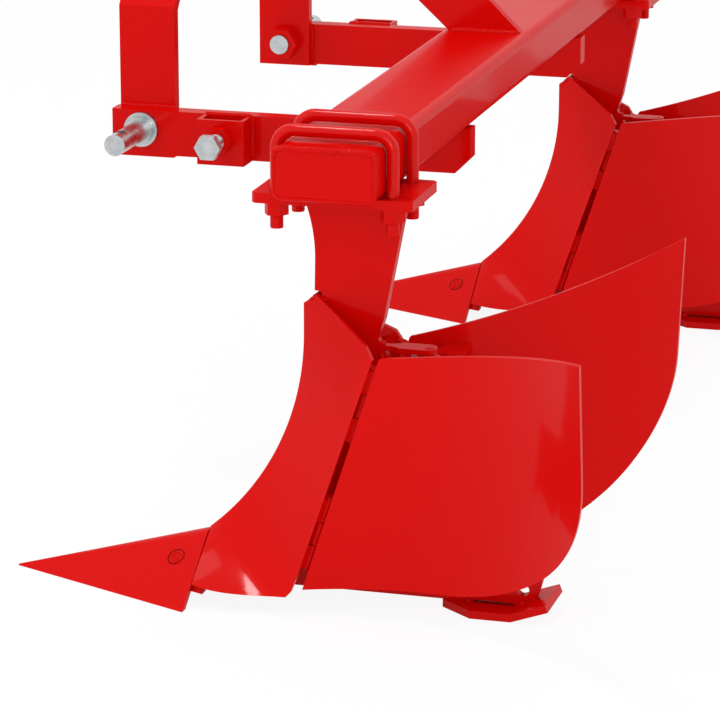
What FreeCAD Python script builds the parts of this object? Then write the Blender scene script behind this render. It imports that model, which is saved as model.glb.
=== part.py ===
import FreeCAD, Part

import math
import os

import Sketcher
from FreeCAD import Placement, Rotation, Vector

# Two-row ridging plough for a tractor's three-point linkage, in millimetres.
# +X is the way it travels, +Y is its left side, +Z is up. The origin is on the ground, under the
# middle of the machine. "Out" below means away from the centre plane of the piece that is described.

# Each row: alias in the sheet, number, what it measures.
DIMENSIONS = [
    ("bar_ahead", -28.5, "toolbar's centre line ahead of the origin"),
    ("bar_across", 100, "toolbar's section along X"),
    ("bar_height", 50, "toolbar's section along Z"),
    ("bar_wall", 5, "toolbar's wall"),
    ("bar_round", 9, "toolbar's outer corner radius"),
    ("bar_under", 407.5, "toolbar's underside above the ground"),
    ("bar_past", 73, "toolbar past the middle of a row, with its cap"),
    ("cap_thick", 6, "end cap's thickness"),
    ("cap_bevel", 3.5, "bevel round an end cap"),
    ("row_gap", 1100, "distance between the two rows"),
    ("arm_thick", 20, "hitch arm's thickness"),
    ("arm_height", 47, "hitch arm's height"),
    ("arm_out", 268.5, "hitch arm's outer face from the centre plane"),
    ("arm_front", 332, "hitch arm's front end ahead of the toolbar's centre line"),
    ("arm_rear", 51, "hitch arm's rear end behind the toolbar's centre line"),
    ("arm_corner", 16, "cut corner at the hitch arm's rear end"),
    ("head_long", 67, "length of the hitch arm's deeper head"),
    ("head_drop", 2, "how much deeper the head is"),
    ("link_ahead", 299.5, "lower link pins ahead of the toolbar's centre line"),
    ("link_drop", 20, "lower link pins below the toolbar's underside"),
    ("link_pin", 22, "lower link pin's diameter"),
    ("link_out", 86, "lower link pin's length out of the arm"),
    ("flange_wide", 36, "pin flange's diameter"),
    ("flange_thick", 6, "pin flange's thickness"),
    ("shoulder_wide", 28, "pin shoulder's diameter"),
    ("shoulder_thick", 5, "pin shoulder's thickness"),
    ("linch_hole", 11, "diameter of the linch pin's hole"),
    ("linch_in", 18, "linch pin's hole from the pin's end"),
    ("pin_nut", 34, "lower link pin's nut across flats"),
    ("mast_rise", 460, "top link hole above the lower link pins"),
    ("mast_wide", 60, "mast flat's width"),
    ("mast_thick", 12, "mast flat's thickness"),
    ("mast_straight", 105, "upright stretch above the toolbar's underside"),
    ("ear_gap", 52, "gap between the two top ears"),
    ("ear_long", 74, "straight top ear below its hole"),
    ("ear_past", 34, "top ear above its hole"),
    ("top_hole", 19.4, "top link hole's diameter"),
    ("brace_thick", 12, "mast brace's thickness"),
    ("brace_deep", 50, "mast brace's depth"),
    ("spacer_thick", 12, "plate between the ears"),
    ("socket_long", 50, "socket's size along X"),
    ("socket_out", 30, "socket's size out of the arm"),
    ("socket_wall", 4, "socket's wall"),
    ("socket_ahead", 205, "socket's centre ahead of the toolbar's centre line"),
    ("boss_wide", 26, "socket's welded boss across flats"),
    ("boss_thick", 12, "socket's welded boss"),
    ("socket_bolt", 16, "socket bolt's thread"),
    ("bolt_shows", 22, "thread between the boss and the head"),
    ("socket_head", 24, "socket bolt's head across flats"),
    ("plate_long", 156, "clamp plate along X"),
    ("plate_wide", 95, "clamp plate along Y"),
    ("plate_thick", 10, "clamp plate's thickness"),
    ("plate_corner", 4, "clamp plate's cut corners"),
    ("slack", 0.3, "clearance of the clamp on the toolbar"),
    ("rod", 12, "U-bolt's rod"),
    ("rod_room", 1.5, "how much wider the clamp plate's holes are than the rod"),
    ("rod_bend", 18, "U-bolt's bend, at the rod's centre"),
    ("rod_over", 3, "gap between U-bolt and toolbar's top"),
    ("rod_beside", 0.5, "gap between the U-bolt's leg and the toolbar"),
    ("rod_apart", 70, "distance between the two U-bolts"),
    ("rod_tail", 25, "thread below the clamp plate"),
    ("rod_nut", 20.5, "U-bolt nut across flats"),
    ("rod_nut_thick", 12, "U-bolt nut's height"),
    ("shank_thick", 12, "shank's thickness"),
    ("shank_front", 39.5, "shank's front edge at the clamp plate"),
    ("shank_rear", 62, "shank's rear edge at the clamp plate, behind the centre line"),
    ("shank_neck", 27.8, "shank's front edge at its neck"),
    ("neck_above", 338, "where the neck's straight front edge starts"),
    ("neck_round", 155, "radius of the shank's front edge over the neck"),
    ("neck_rear", 40, "shank's rear edge over the breast, behind the centre line"),
    ("neck_low", 282, "height of that place"),
    ("waist_rear", 34, "shank's rear edge inside the breast, behind the centre line"),
    ("waist_above", 264, "height of that place"),
    ("heel_top_rear", 32, "shank's rear edge where the heel starts, behind the centre line"),
    ("heel_top", 190, "height of that place"),
    ("ridge_ahead", 41, "breast's ridge where it is upright"),
    ("ridge_top", 291, "breast's top at the ridge"),
    ("ridge_bend", 261, "height where the ridge starts to curve, and the radius of its curve"),
    ("ridge_foot", 50.9, "how far the ridge curves, in degrees"),
    ("ear_ahead", 26.6, "breast's highest point beside the shank, ahead of the centre line"),
    ("ear_top", 302.8, "height of that point"),
    ("notch_ahead", 35, "where the breast's top drops to its ridge"),
    ("notch_top", 295.3, "height of that place"),
    ("nick_ahead", -36, "cut corner over the breast's rear edge"),
    ("nick_top", 267, "height of that place"),
    ("nick_low", 257, "height where the cut corner meets the rear edge"),
    ("breast_thick", 5, "breast's sheet"),
    ("breast_half", 62.5, "breast's rear corner from the centre plane"),
    ("breast_flare", 1, "how much further out its bottom corner is"),
    ("edge_ahead", -43, "breast's rear corner ahead of the toolbar's centre line"),
    ("edge_top", 254, "breast's rear corner above the ground"),
    ("edge_foot", 18.5, "breast's bottom corner above the ground"),
    ("foot_nick", 3, "cut corner at the breast's foot"),
    ("foot_bow", 345, "radius of the breast's bottom edge"),
    ("foot_swing", 45, "radius in which the sheet's rulings turn round the bottom corner"),
    ("edge_lean", 18.58, "lean of the breast's rear edge and of the hinges, in degrees"),
    ("throat_half", 73, "breast's front bottom corner from the centre plane"),
    ("throat_ahead", 133, "the same corner ahead of the toolbar's centre line"),
    ("throat_above", 22.5, "the same corner above the ground"),
    ("share_tip", 338, "share's point ahead of the toolbar's centre line"),
    ("share_blunt", 4, "how much of the share's point is missing"),
    ("share_rear", 137, "share's rear edge"),
    ("share_half", 90, "share's rear corner from the centre plane"),
    ("share_crown", 53.5, "height where the share's side meets its rounded ridge"),
    ("share_round", 21, "radius of the share's rounded ridge at its rear"),
    ("share_nose", 12, "half width of the rounded ridge at its rear"),
    ("share_wall", 7, "share's thickness, measured down"),
    ("share_bolt", 10, "share bolt's thread"),
    ("share_head", 16, "share bolt's countersunk head"),
    ("bolt_ahead", 163, "share bolts ahead of the toolbar's centre line"),
    ("bolt_half", 29, "share bolts from the centre plane"),
    ("seat_front", 200, "front end of the seat under the share"),
    ("seat_rear", 124, "rear end of the seat"),
    ("seat_wall", 8, "seat's thickness, measured down"),
    ("sole_half", 32, "sole's half width"),
    ("sole_thick", 8, "sole's thickness"),
    ("sole_front", 99, "sole's nose behind the toolbar's centre line"),
    ("sole_full", 132, "where the sole reaches its full width"),
    ("sole_bend", 172, "where the sole's tail bends up"),
    ("sole_rear", 208.5, "sole's rear end"),
    ("sole_lift", 13, "height of the tail's end"),
    ("heel_thick", 10, "heel plate's thickness"),
    ("heel_rear_low", 191, "heel plate's rear corner at the sole, behind the centre line"),
    ("hinge_clear", 6.5, "hinge barrels inside the breast's rear corner"),
    ("hinge_back", 3.5, "hinge's centre line behind the breast's rear edge"),
    ("barrel", 12, "hinge barrel's diameter"),
    ("barrel_long", 24, "hinge barrel's length"),
    ("barrel_gap", 1, "gap between two barrels"),
    ("upper_hinge", 10, "upper hinge's first barrel below the rear corner, along the hinge"),
    ("lower_hinge", 147, "lower hinge's first barrel below the rear corner, along the hinge"),
    ("hinge_pin", 8, "hinge pin's diameter"),
    ("pin_play", 0.08, "hinge pin's radial clearance"),
    ("leaf_thick", 5, "hinge leaf's thickness"),
    ("wing_thick", 4, "wing's sheet"),
    ("wing_gap", 6.3, "gap between the breast's rear edge and the wing at its top, along X"),
    ("foot_gap", 9, "the same gap at the wing's foot"),
    ("wing_nose", 2.5, "rounded top front corner of the wing"),
    ("high_cut", 330, "height of the wing's upper section"),
    ("high_round", 500, "wing's radius there"),
    ("high_leave", 24.7, "wing's angle there at the hinge, in degrees"),
    ("high_end", 62, "wing's angle there at its rear, in degrees"),
    ("low_cut", 15, "height of the wing's lower section"),
    ("low_round", 301, "wing's radius there"),
    ("low_leave", -13, "wing's angle there at the hinge, in degrees"),
    ("low_end", 61, "wing's angle there at its rear, in degrees"),
    ("wing_rear", 281, "wing's rear edge behind the toolbar's centre line"),
    ("wing_peak", 319, "wing's top rear corner above the ground"),
    ("wing_front", 260, "left-hand wing's top front corner above the ground"),
    ("right_drop", 11, "how much lower the right-hand sheets' top corners are"),
    ("wing_dip", 1800, "radius of the wing's top edge"),
    ("wing_base", 24, "wing's bottom front corner above the ground"),
    ("belly_rear", 114, "where the bottom edge starts to curve up, behind the centre line"),
    ("belly_above", 35, "height of that place"),
    ("belly_round", 190, "radius of the bottom edge's curve"),
    ("heel_rear", 232, "where that curve meets the rear corner's curve"),
    ("heel_above", 89, "height of that place"),
    ("corner_above", 206, "where the rear edge starts to curve in"),
    ("corner_round", 168, "radius of the rear corner's curve"),
    ("bracket_wide", 22, "adjuster bracket's width"),
    ("bracket_thick", 5, "adjuster bracket's thickness"),
    ("bracket_above", 251, "adjuster bracket's underside"),
    ("bracket_past", 8, "adjuster bracket behind its bolt"),
    ("gusset_back", 46, "gusset under the bracket, behind the toolbar's centre line"),
    ("clamp_back", 83, "clamp bolt behind the toolbar's centre line"),
    ("clamp_bolt", 8, "clamp bolt's thread"),
    ("clamp_head", 13, "clamp bolt's head across flats"),
    ("sleeve", 12, "sleeve round the clamp bolt"),
    ("strap_thick", 4, "adjuster strap's thickness"),
    ("strap_half", 13, "adjuster strap's half width"),
    ("strap_slot", 14, "strap's slot"),
    ("lug_thick", 5, "lug's thickness"),
    ("strap_near", 4.5, "gap between the bracket and the upper strap"),
    ("strap_apart", 6.5, "gap between the two straps"),
    ("strap_far", 3, "gap between the lower strap and the washer"),
    ("lug_back", 92, "strap's fixing behind the toolbar's centre line"),
    ("lug_half", 45, "strap's fixing from the centre plane"),
    ("wing_opens", 6, "how far a wing opens from where it stands, in degrees"),
    ("wing_closes", 12, "how far a wing closes from where it stands, in degrees"),
]


class Size:
    """A number together with the sheet expression that gives it."""

    def __init__(self, value, text=None):
        self.value = float(value)
        self.text = text or repr(float(value))

    def join(self, other, sign, value, swap=False):
        other = size(other)
        first, last = (other, self) if swap else (self, other)
        return Size(value(first.value, last.value), f"({first.text} {sign} {last.text})")

    def __add__(self, other):
        return self.join(other, "+", lambda a, b: a + b)

    def __radd__(self, other):
        return self.join(other, "+", lambda a, b: a + b, True)

    def __sub__(self, other):
        return self.join(other, "-", lambda a, b: a - b)

    def __rsub__(self, other):
        return self.join(other, "-", lambda a, b: a - b, True)

    def __mul__(self, other):
        return self.join(other, "*", lambda a, b: a * b)

    def __rmul__(self, other):
        return self.join(other, "*", lambda a, b: a * b, True)

    def __truediv__(self, other):
        return self.join(other, "/", lambda a, b: a / b)

    def __neg__(self):
        return self * -1

    def __float__(self):
        return self.value


def size(number):
    """The number as a Size, so that plain numbers and sheet values mix freely."""
    return number if isinstance(number, Size) else Size(number)


def sine(angle):
    return Size(math.sin(math.radians(angle.value)), f"sin({angle.text})")


def cosine(angle):
    return Size(math.cos(math.radians(angle.value)), f"cos({angle.text})")


def tangent(angle):
    return Size(math.tan(math.radians(angle.value)), f"tan({angle.text})")


def arc_tangent(rise, run):
    return Size(math.degrees(math.atan2(rise.value, run.value)), f"(atan2({rise.text}; {run.text}) / 1 deg)")


class Sheet:
    """The spreadsheet of driving dimensions. Its attributes are Sizes bound to the aliases."""

    def __init__(self, doc):
        self.cells = doc.addObject("Spreadsheet::Sheet", "Sizes")
        for row, (alias, number, meaning) in enumerate(DIMENSIONS, start=1):
            self.cells.set(f"A{row}", alias)
            self.cells.set(f"B{row}", str(number))
            self.cells.set(f"C{row}", meaning)
            self.cells.setAlias(f"B{row}", alias)
            setattr(self, alias, Size(number, f"Sizes.{alias}"))


doc = FreeCAD.newDocument("RidgingPlough")
D = Sheet(doc)
doc.recompute()
nodes = []

# ---------------------------------------------------------------- shared measures

BAR_TOP = D.bar_under + D.bar_height
BAR_SPAN = D.row_gap + D.bar_past * 2
ROD_HALF = D.bar_across / 2 + D.rod / 2 + D.rod_beside
ROD_HOLE = D.rod + D.rod_room
PLATE_TOP = D.bar_under - D.slack
PLATE_UNDER = PLATE_TOP - D.plate_thick
ARM_UNDER = D.bar_under - D.arm_height
ARM_IN = D.arm_out - D.arm_thick
LINK_ABOVE = D.bar_under - D.link_drop
TOP_ABOVE = LINK_ABOVE + D.mast_rise
SHARE_LONG = D.share_tip + D.share_blunt - D.share_rear
HINGE_HALF = D.breast_half - D.barrel / 2 - D.hinge_clear
HINGE_AHEAD = D.edge_ahead - D.hinge_back
BRACKET_TOP = D.bracket_above + D.bracket_thick
TAIL_LEAN = D.sole_lift / (D.sole_rear - D.sole_bend)
UPPER_STRAP = D.bracket_above - D.strap_near - D.strap_thick
LOWER_STRAP = UPPER_STRAP - D.strap_apart - D.strap_thick


def wedge_scale(x):
    """How large the share's cross-section is at x, against the one at its rear edge."""
    return (D.share_tip + D.share_blunt - x) / SHARE_LONG


def seat_under(x):
    """Height of the seat's underside over the toe of the shank."""
    crown = D.share_crown * wedge_scale(x)
    return crown - D.share_wall - D.seat_wall - D.slack * 2


def edge_at(height):
    """How far ahead the breast's leaning rear edge is at a height."""
    return D.edge_ahead + (D.edge_top - height) * tangent(D.edge_lean)


def breast_inset(height):
    """How far behind the ridge the shank's front edge has to stay to fit inside the breast."""
    spread = arc_tangent(D.breast_half, D.ridge_ahead - edge_at(height))
    return D.breast_thick / sine(spread) + D.shank_thick / 2 / tangent(spread) + D.slack


def waist_at(height):
    """How far ahead the shank's rear edge is at a height below its waist."""
    slope = (D.waist_rear - D.heel_top_rear) / (D.waist_above - D.heel_top)
    return -D.waist_rear + (D.waist_above - height) * slope


def wing_edge_at(height):
    """How far ahead the wing's front edge is at a height; its gap widens towards the ground."""
    share = (D.wing_front - height) / (D.wing_front - D.wing_base)
    return edge_at(height) - D.wing_gap - share * (D.foot_gap - D.wing_gap)


# ---------------------------------------------------------------- tools for parametric pieces


def bind(item, name, number):
    """Ties one property to the sheet."""
    item.setExpression(name, size(number).text)


def put(item, x=0, y=0, z=0, axis=None, angle=0):
    """Places an object; the sheet drives its position and its turn about the axis."""
    turn = Rotation(axis or Vector(0, 0, 1), float(angle))
    item.Placement = Placement(Vector(float(x), float(y), float(z)), turn)
    for letter, number in zip("xyz", (x, y, z)):
        bind(item, f"Placement.Base.{letter}", number)
    if isinstance(angle, Size):
        bind(item, "Placement.Rotation.Angle", angle)
    return item


def node(item, label, side=0):
    """Names a sub-part and moves it to its row; side is +1 for the left row, -1 for the right."""
    item.Label = label
    base = item.Placement.Base
    if base.Length:
        raise ValueError(f"{label} is already placed")
    put(item, D.bar_ahead, side * D.row_gap / 2, 0)
    nodes.append(item)
    return item


def origin_plane(body, role):
    return next(f for f in body.Origin.OriginFeatures if f.Role == role)


def new_body(name):
    return doc.addObject("PartDesign::Body", name)


def new_sketch(body, role, shift=0, name="Sketch"):
    """A sketch on one of the body's origin planes, shifted along the plane's normal."""
    sketch = body.newObject("Sketcher::SketchObject", name)
    sketch.AttachmentSupport = (origin_plane(body, role), [""])
    sketch.MapMode = "FlatFace"
    sketch.AttachmentOffset = Placement(Vector(0, 0, float(shift)), Rotation())
    if isinstance(shift, Size):
        bind(sketch, "AttachmentOffset.Base.z", shift)
    return sketch


def tie(sketch, kind, places, number):
    """Adds one dimension to a sketch and ties it to the sheet."""
    number = size(number)
    if kind != "Radius" and abs(number.value) < 1e-9:
        line = -2 if kind == "DistanceX" else -1
        sketch.addConstraint(Sketcher.Constraint("PointOnObject", *places, line))
        return
    if kind == "Radius":
        index = sketch.addConstraint(Sketcher.Constraint(kind, places[0], number.value))
    else:
        index = sketch.addConstraint(Sketcher.Constraint(kind, -1, 1, *places, number.value))
    sketch.setExpression(f"Constraints[{index}]", number.text)


def arc_between(start, end, radius):
    """The arc from start to end that bends left for a positive radius, right for a negative one."""
    chord = end.sub(start)
    reach = math.sqrt(max(radius * radius - chord.Length * chord.Length / 4, 0))
    left = Vector(-chord.y, chord.x, 0).normalize()
    centre = start.add(end).multiply(0.5).add(left.multiply(math.copysign(reach, radius)))
    spin = [math.atan2(p.y - centre.y, p.x - centre.x) for p in (start, end)]
    if radius < 0:
        spin.reverse()
    circle = Part.Circle(centre, Vector(0, 0, 1), abs(radius))
    return Part.ArcOfCircle(circle, spin[0], spin[1] + (2 * math.pi if spin[1] < spin[0] else 0))


def draw(sketch, corners):
    """Draws a closed outline.

    Each corner is (x, y) or (x, y, radius), where the radius rounds the edge that ends at that
    corner. Every corner and radius is tied to the sheet. A half circle is held by its centre.
    """
    first = sketch.GeometryCount
    count = len(corners)
    points = [Vector(float(c[0]), float(c[1]), 0) for c in corners]
    starts, ends, radii = [], [], []
    for i in range(count):
        end = (i + 1) % count
        radius = corners[end][2] if len(corners[end]) > 2 else None
        if radius is None:
            sketch.addGeometry(Part.LineSegment(points[i], points[end]))
        else:
            sketch.addGeometry(arc_between(points[i], points[end], float(radius)))
        backwards = radius is not None and float(radius) < 0
        starts.append((first + i, 2 if backwards else 1))
        ends.append((first + i, 1 if backwards else 2))
        radii.append(radius)
    for i in range(count):
        follower = starts[(i + 1) % count]
        sketch.addConstraint(Sketcher.Constraint("Coincident", *ends[i], *follower))
    corners = [tuple(size(n) for n in corner) for corner in corners]
    for i in range(count):
        tie(sketch, "DistanceX", starts[i], corners[i][0])
        tie(sketch, "DistanceY", starts[i], corners[i][1])
        if radii[i] is None:
            continue
        follower = corners[(i + 1) % count]
        run, rise = follower[0] - corners[i][0], follower[1] - corners[i][1]
        if math.hypot(float(run), float(rise)) < 2 * abs(float(radii[i])) - 0.001:
            tie(sketch, "Radius", (first + i,), radii[i] * (-1 if float(radii[i]) < 0 else 1))
        elif abs(float(run)) > abs(float(rise)):
            tie(sketch, "DistanceY", (first + i, 3), (corners[i][1] + follower[1]) / 2)
        else:
            tie(sketch, "DistanceX", (first + i, 3), (corners[i][0] + follower[0]) / 2)


def draw_circle(sketch, x, y, radius):
    place = Vector(float(x), float(y), 0)
    index = sketch.addGeometry(Part.Circle(place, Vector(0, 0, 1), float(radius)))
    tie(sketch, "DistanceX", (index, 3), x)
    tie(sketch, "DistanceY", (index, 3), y)
    tie(sketch, "Radius", (index,), radius)


def draw_hull(sketch, points, radius):
    """Draws the rounded outline that a belt takes round equal discs at the points."""
    spots = [Vector(float(x), float(y), 0) for x, y in points]
    turn = sum(a.x * b.y - b.x * a.y for a, b in zip(spots, spots[1:] + spots[:1]))
    if turn < 0:
        points, spots = points[::-1], spots[::-1]
    count = len(spots)
    first = sketch.GeometryCount
    outs = []
    for i in range(count):
        along = spots[(i + 1) % count].sub(spots[i]).normalize()
        outs.append(Vector(along.y, -along.x, 0))
    for i in range(count):
        spin = [math.atan2(n.y, n.x) for n in (outs[i - 1], outs[i])]
        if spin[1] <= spin[0]:
            spin[1] += 2 * math.pi
        circle = Part.Circle(spots[i], Vector(0, 0, 1), float(radius))
        sketch.addGeometry(Part.ArcOfCircle(circle, *spin))
        step = Vector(outs[i]).multiply(float(radius))
        sketch.addGeometry(Part.LineSegment(spots[i].add(step), spots[(i + 1) % count].add(step)))
    for i in range(count):
        arc, line = first + 2 * i, first + 2 * i + 1
        following = first + 2 * ((i + 1) % count)
        sketch.addConstraint(Sketcher.Constraint("Tangent", arc, 2, line, 1))
        sketch.addConstraint(Sketcher.Constraint("Tangent", line, 2, following, 1))
        tie(sketch, "DistanceX", (arc, 3), points[i][0])
        tie(sketch, "DistanceY", (arc, 3), points[i][1])
        tie(sketch, "Radius", (arc,), radius)


def pad(body, sketch, length, both=False, back=False):
    feature = body.newObject("PartDesign::Pad", "Pad")
    feature.Profile = sketch
    bind(feature, "Length", length)
    feature.SideType = "Symmetric" if both else "One side"
    feature.Reversed = back
    return feature


def pocket_through(body, sketch):
    feature = body.newObject("PartDesign::Pocket", "Pocket")
    feature.Profile = sketch
    feature.SideType = "Symmetric"
    feature.Type = "ThroughAll"
    return feature


def plate(label, role, thickness, corners, side=0, shift=0, both=True, holes=()):
    """A flat piece: a closed outline padded to its thickness, with round holes."""
    body = new_body(label)
    sketch = new_sketch(body, role, shift)
    draw(sketch, corners)
    for x, y, radius in holes:
        draw_circle(sketch, x, y, radius)
    pad(body, sketch, thickness, both)
    return node(body, label, side)


def cylinder(radius, height, x=0, y=0, z=0, axis=None, angle=0):
    item = doc.addObject("Part::Cylinder", "Cylinder")
    bind(item, "Radius", radius)
    bind(item, "Height", height)
    return put(item, x, y, z, axis, angle)


def hexagon(flats, height, x=0, y=0, z=0, axis=None, angle=0):
    item = doc.addObject("Part::Prism", "Hexagon")
    item.Polygon = 6
    bind(item, "Circumradius", size(flats) / 2 / math.cos(math.pi / 6))
    bind(item, "Height", height)
    return put(item, x, y, z, axis, angle)


def block(length, width, height, x=0, y=0, z=0, axis=None, angle=0):
    """A box whose position is the middle of its underside."""
    item = doc.addObject("Part::Box", "Block")
    for name, number in (("Length", length), ("Width", width), ("Height", height)):
        bind(item, name, number)
    return put(item, size(x) - size(length) / 2, size(y) - size(width) / 2, z, axis, angle)


def fuse(items):
    item = doc.addObject("Part::MultiFuse", "Joined")
    item.Shapes = items
    item.Refine = True
    return item


def cut(base, tool):
    item = doc.addObject("Part::Cut", "Cut")
    item.Base = base
    item.Tool = tool
    return item


def gather(items):
    """Like pieces that don't touch, kept as one node."""
    item = doc.addObject("Part::Compound", "Set")
    item.Links = items
    return item


ALONG_X = Vector(1, 0, 0)
ALONG_Y = Vector(0, 1, 0)
SIDES = (("left", 1), ("right", -1))


# ---------------------------------------------------------------- toolbar and hitch


def toolbar():
    """Rectangular hollow section, open at both ends."""
    body = new_body("toolbar")
    sketch = new_sketch(body, "XZ_Plane")
    half, low, top = D.bar_across / 2, D.bar_under, BAR_TOP
    for inset, radius in ((0, D.bar_round), (D.bar_wall, D.bar_round - D.bar_wall)):
        x, z0, z1 = half - inset, low + inset, top - inset
        corners = [
            (radius - x, z0),
            (x - radius, z0),
            (x, z0 + radius, radius),
            (x, z1 - radius),
            (x - radius, z1, radius),
            (radius - x, z1),
            (-x, z1 - radius, radius),
            (-x, z0 + radius),
            (radius - x, z0, radius),
        ]
        draw(sketch, corners[1:])
    pad(body, sketch, BAR_SPAN - D.cap_thick * 2, both=True)
    return node(body, "toolbar")


def bar_cap(word, side):
    """Welded end cap with a ground bevel all round."""
    body = new_body(f"toolbar_cap_{word}")
    half, radius = D.bar_across / 2, D.bar_round
    place = -side * (BAR_SPAN / 2 - D.cap_thick / 2)
    sketch = new_sketch(body, "XZ_Plane", place)
    draw(
        sketch,
        [
            (half - radius, D.bar_under),
            (half, D.bar_under + radius, radius),
            (half, BAR_TOP - radius),
            (half - radius, BAR_TOP, radius),
            (radius - half, BAR_TOP),
            (-half, BAR_TOP - radius, radius),
            (-half, D.bar_under + radius),
            (radius - half, D.bar_under, radius),
        ],
    )
    slab = pad(body, sketch, D.cap_thick, both=True)
    doc.recompute()
    outer = max(range(len(slab.Shape.Faces)), key=lambda i: side * slab.Shape.Faces[i].CenterOfMass.y)
    bevel = body.newObject("PartDesign::Chamfer", "Bevel")
    bevel.Base = (slab, [f"Face{outer + 1}"])
    bind(bevel, "Size", D.cap_bevel)
    return node(body, f"toolbar_cap_{word}")


def hitch_arm(word, side):
    """Flat bar on edge, welded under the toolbar, with a deeper head for the lower link pin."""
    rear, front, top, low = -D.arm_rear, D.arm_front, D.bar_under, ARM_UNDER
    return plate(
        f"hitch_arm_{word}",
        "XZ_Plane",
        D.arm_thick,
        [
            (rear, top),
            (rear, low + D.arm_corner),
            (rear + D.arm_corner, low),
            (front - D.head_long, low),
            (front - D.head_long, low - D.head_drop),
            (front, low - D.head_drop),
            (front, top),
        ],
        shift=-side * (D.arm_out - D.arm_thick / 2),
        holes=[(D.link_ahead, LINK_ABOVE, D.link_pin / 2 + 0.1)],
    )


def mast_upright(word, side):
    """Flat bar up the inside of an arm, bent in to the top link ear."""
    out, foot = ARM_IN, ARM_UNDER
    knee = D.bar_under + D.mast_straight
    ear_face = D.ear_gap / 2 + D.mast_thick
    neck = TOP_ABOVE - D.ear_long
    skew = (out - ear_face) / (neck - knee)
    lean = D.mast_thick * skew / 2
    path = [
        (out, foot),
        (out, knee),
        (ear_face, neck),
        (ear_face, TOP_ABOVE + D.ear_past),
        (ear_face - D.mast_thick, TOP_ABOVE + D.ear_past),
        (ear_face - D.mast_thick, neck - lean),
        (out - D.mast_thick, knee - lean),
        (out - D.mast_thick, foot),
    ]
    body = new_body(f"mast_upright_{word}")
    sketch = new_sketch(body, "YZ_Plane", D.link_ahead)
    draw(sketch, [(side * y, z) for y, z in path])
    pad(body, sketch, D.mast_wide, both=True)
    bores = new_sketch(body, "XZ_Plane", name="Bores")
    draw_circle(bores, D.link_ahead, LINK_ABOVE, D.link_pin / 2 + 0.1)
    draw_circle(bores, D.link_ahead, TOP_ABOVE, D.top_hole / 2)
    pocket_through(body, bores)
    return node(body, f"mast_upright_{word}")


def mast_spacer():
    """Cross plate welded between the two ears below the top link's room."""
    item = block(D.mast_wide, D.ear_gap, D.spacer_thick, D.link_ahead, 0, TOP_ABOVE - D.ear_long)
    return node(gather([item]), "mast_spacer")


def mast_brace():
    """Flat bar on edge from the cross plate down to the top of the toolbar."""
    top = TOP_ABOVE - D.ear_long
    front = D.link_ahead + D.mast_wide / 2
    rear = D.bar_across / 2
    return plate(
        "mast_brace",
        "XZ_Plane",
        D.brace_thick,
        [
            (front - D.brace_deep, top),
            (-rear + 10, BAR_TOP),
            (rear - 10, BAR_TOP),
            (front, top - D.brace_deep),
            (front, top),
        ],
    )


def link_pin(word, side):
    """Lower link pin with flange and shoulder, through the arm and the upright to its nut."""
    tail = D.arm_thick + D.mast_thick + D.pin_nut * 0.55 + 3
    angle = -90 * side
    spot = {"x": D.link_ahead, "z": LINK_ABOVE, "axis": ALONG_X, "angle": angle}
    shaft = cylinder(D.link_pin / 2, tail + D.link_out, y=side * (D.arm_out - tail), **spot)
    flange = cylinder(D.flange_wide / 2, D.flange_thick, y=side * D.arm_out, **spot)
    step_out = D.flange_thick + D.shoulder_thick
    shoulder = cylinder(D.shoulder_wide / 2, step_out, y=side * D.arm_out, **spot)
    hole_out = side * (D.arm_out + D.link_out - D.linch_in)
    hole = cylinder(D.linch_hole / 2, D.link_pin * 2, D.link_ahead, hole_out, LINK_ABOVE - D.link_pin)
    item = cut(fuse([shaft, flange, shoulder]), hole)
    return node(item, f"lower_link_pin_{word}")


def link_nut(word, side):
    """Nut behind the mast upright that holds the lower link pin."""
    thick = D.pin_nut * 0.55
    face = side * (ARM_IN - D.mast_thick)
    spot = {"x": D.link_ahead, "z": LINK_ABOVE, "axis": ALONG_X, "angle": 90 * side}
    item = cut(
        hexagon(D.pin_nut, thick, y=face, **spot),
        cylinder(D.link_pin / 2 + 0.1, thick, y=face, **spot),
    )
    return node(item, f"lower_link_nut_{word}")


def stand_socket(word, side):
    """Upright square socket on the outside of an arm, with a welded boss for its clamp bolt."""
    x, half, deep, wall = D.socket_ahead, D.socket_long / 2, D.socket_out, D.socket_wall
    body = new_body("socket_tube")
    sketch = new_sketch(body, "XY_Plane", ARM_UNDER)
    near, far = D.arm_out, D.arm_out + deep
    front, rear = x + half, x - half
    draw(sketch, [(rear, side * near), (front, side * near), (front, side * far), (rear, side * far)])
    room = [(x - half + wall, near + wall), (x + half - wall, near + wall)]
    room += [(x + half - wall, far - wall), (x - half + wall, far - wall)]
    draw(sketch, [(a, side * b) for a, b in room])
    pad(body, sketch, D.arm_height)
    spot = {"x": x, "z": LINK_ABOVE, "axis": ALONG_X, "angle": -90 * side}
    boss = hexagon(D.boss_wide, D.boss_thick, y=side * far, **spot)
    bore = cylinder(D.socket_bolt / 2 + 0.1, D.boss_thick + wall * 2, y=side * (far - wall * 1.5), **spot)
    item = cut(fuse([body, boss]), bore)
    return node(item, f"stand_socket_{word}")


def socket_bolt(word, side):
    """Clamp bolt screwed part way into the socket's boss."""
    face = D.arm_out + D.socket_out
    head_out = D.boss_thick + D.bolt_shows
    spot = {"x": D.socket_ahead, "z": LINK_ABOVE, "axis": ALONG_X, "angle": -90 * side}
    thread = cylinder(D.socket_bolt / 2, head_out + D.socket_wall, y=side * (face - D.socket_wall), **spot)
    head = hexagon(D.socket_head, D.socket_bolt * 0.63, y=side * (face + head_out), **spot)
    return node(fuse([thread, head]), f"socket_bolt_{word}")


# ---------------------------------------------------------------- clamp of one row


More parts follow.
